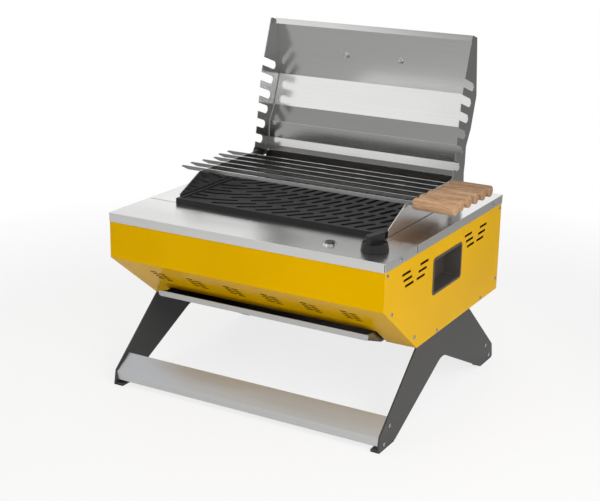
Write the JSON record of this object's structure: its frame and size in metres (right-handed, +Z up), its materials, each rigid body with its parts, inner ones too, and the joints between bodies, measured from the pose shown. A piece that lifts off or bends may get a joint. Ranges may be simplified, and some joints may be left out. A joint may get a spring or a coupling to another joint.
{
  "type": "electric skewer grill",
  "caption": "Free-standing electric barbecue with a hinged lid notched for skewers, a slotted cast plate, a pull-out fat drawer, side grips and splayed legs.",
  "frame": {"origin": "middle of the bounding box's base, on the surface that the feet stand on, with the lid open", "axes": "+X to the right seen from the control panel, +Y to the back where the lid hinges, +Z up"},
  "size_m": [0.5946, 0.5404, 0.6527],
  "materials": {
    "yellow_paint": "glossy enamel",
    "galvanised_steel": "dull zinc-coated sheet",
    "polished_steel": "satin to bright stainless sheet",
    "plain_steel": "plain stainless steel",
    "grey_paint": "satin dark grey",
    "rubber": "matt",
    "dark_plastic": "semi-matt black",
    "cast_iron": "seasoned black",
    "element_sheath": "heat-darkened sheath",
    "ceramic": null,
    "chrome": "bright plated",
    "wood": "smooth sanded"
  },
  "bodies": {
    "base": {"front_panel": "yellow_paint", "side_panel_right": "yellow_paint", "side_panel_left": "yellow_paint", "rear_panel": "yellow_paint", "bottom_panel": "galvanised_steel", "top_front_panel": "polished_steel", "top_side_panel_right": "polished_steel", "top_side_panel_left": "polished_steel", "top_rear_panel": "polished_steel", "grip_cup_right": "dark_plastic", "grip_cup_left": "dark_plastic", "leg_right": "grey_paint", "leg_left": "grey_paint", "foot_pads": "rubber", "front_crossbar": "polished_steel", "rear_crossbar": "polished_steel", "tray_runner_right": "galvanised_steel", "tray_runner_left": "galvanised_steel", "firebox": "galvanised_steel", "heating_element": "element_sheath", "element_brackets": "galvanised_steel", "terminal_blocks": "ceramic", "skewer_rest_right": "polished_steel", "skewer_rest_left": "polished_steel", "hinge_pins": "plain_steel", "rear_guard": "polished_steel", "guard_tabs": "polished_steel", "thermostat_body": "ceramic", "button_bezel": "chrome", "switch_body": "dark_plastic", "power_inlet": "dark_plastic", "side_screws_right": "plain_steel", "side_screws_left": "plain_steel", "leg_screws": "plain_steel"},
    "lid": {"lid_shell": "polished_steel", "lid_side_right": "polished_steel", "lid_side_left": "polished_steel", "lid_handle": "dark_plastic", "lid_handle_screws": "plain_steel"},
    "tray": {"drip_tray": "polished_steel", "tray_lip": "polished_steel"},
    "knob": {"knob": "dark_plastic", "thermostat_shaft": "plain_steel"},
    "button": {"button_cap": "chrome"},
    "plate": {"grill_plate": "cast_iron"},
    "skewer_1": {"skewer_blade_1": "plain_steel", "skewer_handle_1": "wood"},
    "skewer_2": {"skewer_blade_2": "plain_steel", "skewer_handle_2": "wood"},
    "skewer_3": {"skewer_blade_3": "plain_steel", "skewer_handle_3": "wood"},
    "skewer_4": {"skewer_blade_4": "plain_steel", "skewer_handle_4": "wood"},
    "skewer_5": {"skewer_blade_5": "plain_steel", "skewer_handle_5": "wood"},
    "skewer_6": {"skewer_blade_6": "plain_steel", "skewer_handle_6": "wood"}
  },
  "joints": [
    {"name": "lid_hinge", "type": "hinge", "parent": "base", "child": "lid", "pos_m": [0, 0.14095, 0.377], "axis": [-1, 0, 0], "range_deg": [-109, 0]},
    {"name": "tray_slide", "type": "slide", "parent": "base", "child": "tray", "axis": [0, -1, 0], "range_m": [0, 0.26]},
    {"name": "knob_turn", "type": "hinge", "parent": "base", "child": "knob", "pos_m": [0.2187, -0.21305, 0.3413], "axis": [0, 0, -1], "range_deg": [0, 270]},
    {"name": "button_press", "type": "slide", "parent": "base", "child": "button", "axis": [0, 0, -1], "range_m": [0, 0.0025], "stiffness_N_per_m": 400, "springref_m": -0.001},
    {"name": "plate_lift", "type": "slide", "parent": "base", "child": "plate", "axis": [0, 0, 1], "range_m": [0, 0.025]},
    {"name": "skewer_1_lift", "type": "slide", "parent": "base", "child": "skewer_1", "axis": [0, 0, 1], "range_m": [0, 0.06]},
    {"name": "skewer_2_lift", "type": "slide", "parent": "base", "child": "skewer_2", "axis": [0, 0, 1], "range_m": [0, 0.06]},
    {"name": "skewer_3_lift", "type": "slide", "parent": "base", "child": "skewer_3", "axis": [0, 0, 1], "range_m": [0, 0.06]},
    {"name": "skewer_4_lift", "type": "slide", "parent": "base", "child": "skewer_4", "axis": [0, 0, 1], "range_m": [0, 0.06]},
    {"name": "skewer_5_lift", "type": "slide", "parent": "base", "child": "skewer_5", "axis": [0, 0, 1], "range_m": [0, 0.06]},
    {"name": "skewer_6_lift", "type": "slide", "parent": "base", "child": "skewer_6", "axis": [0, 0, 1], "range_m": [0, 0.06]}
  ]
}
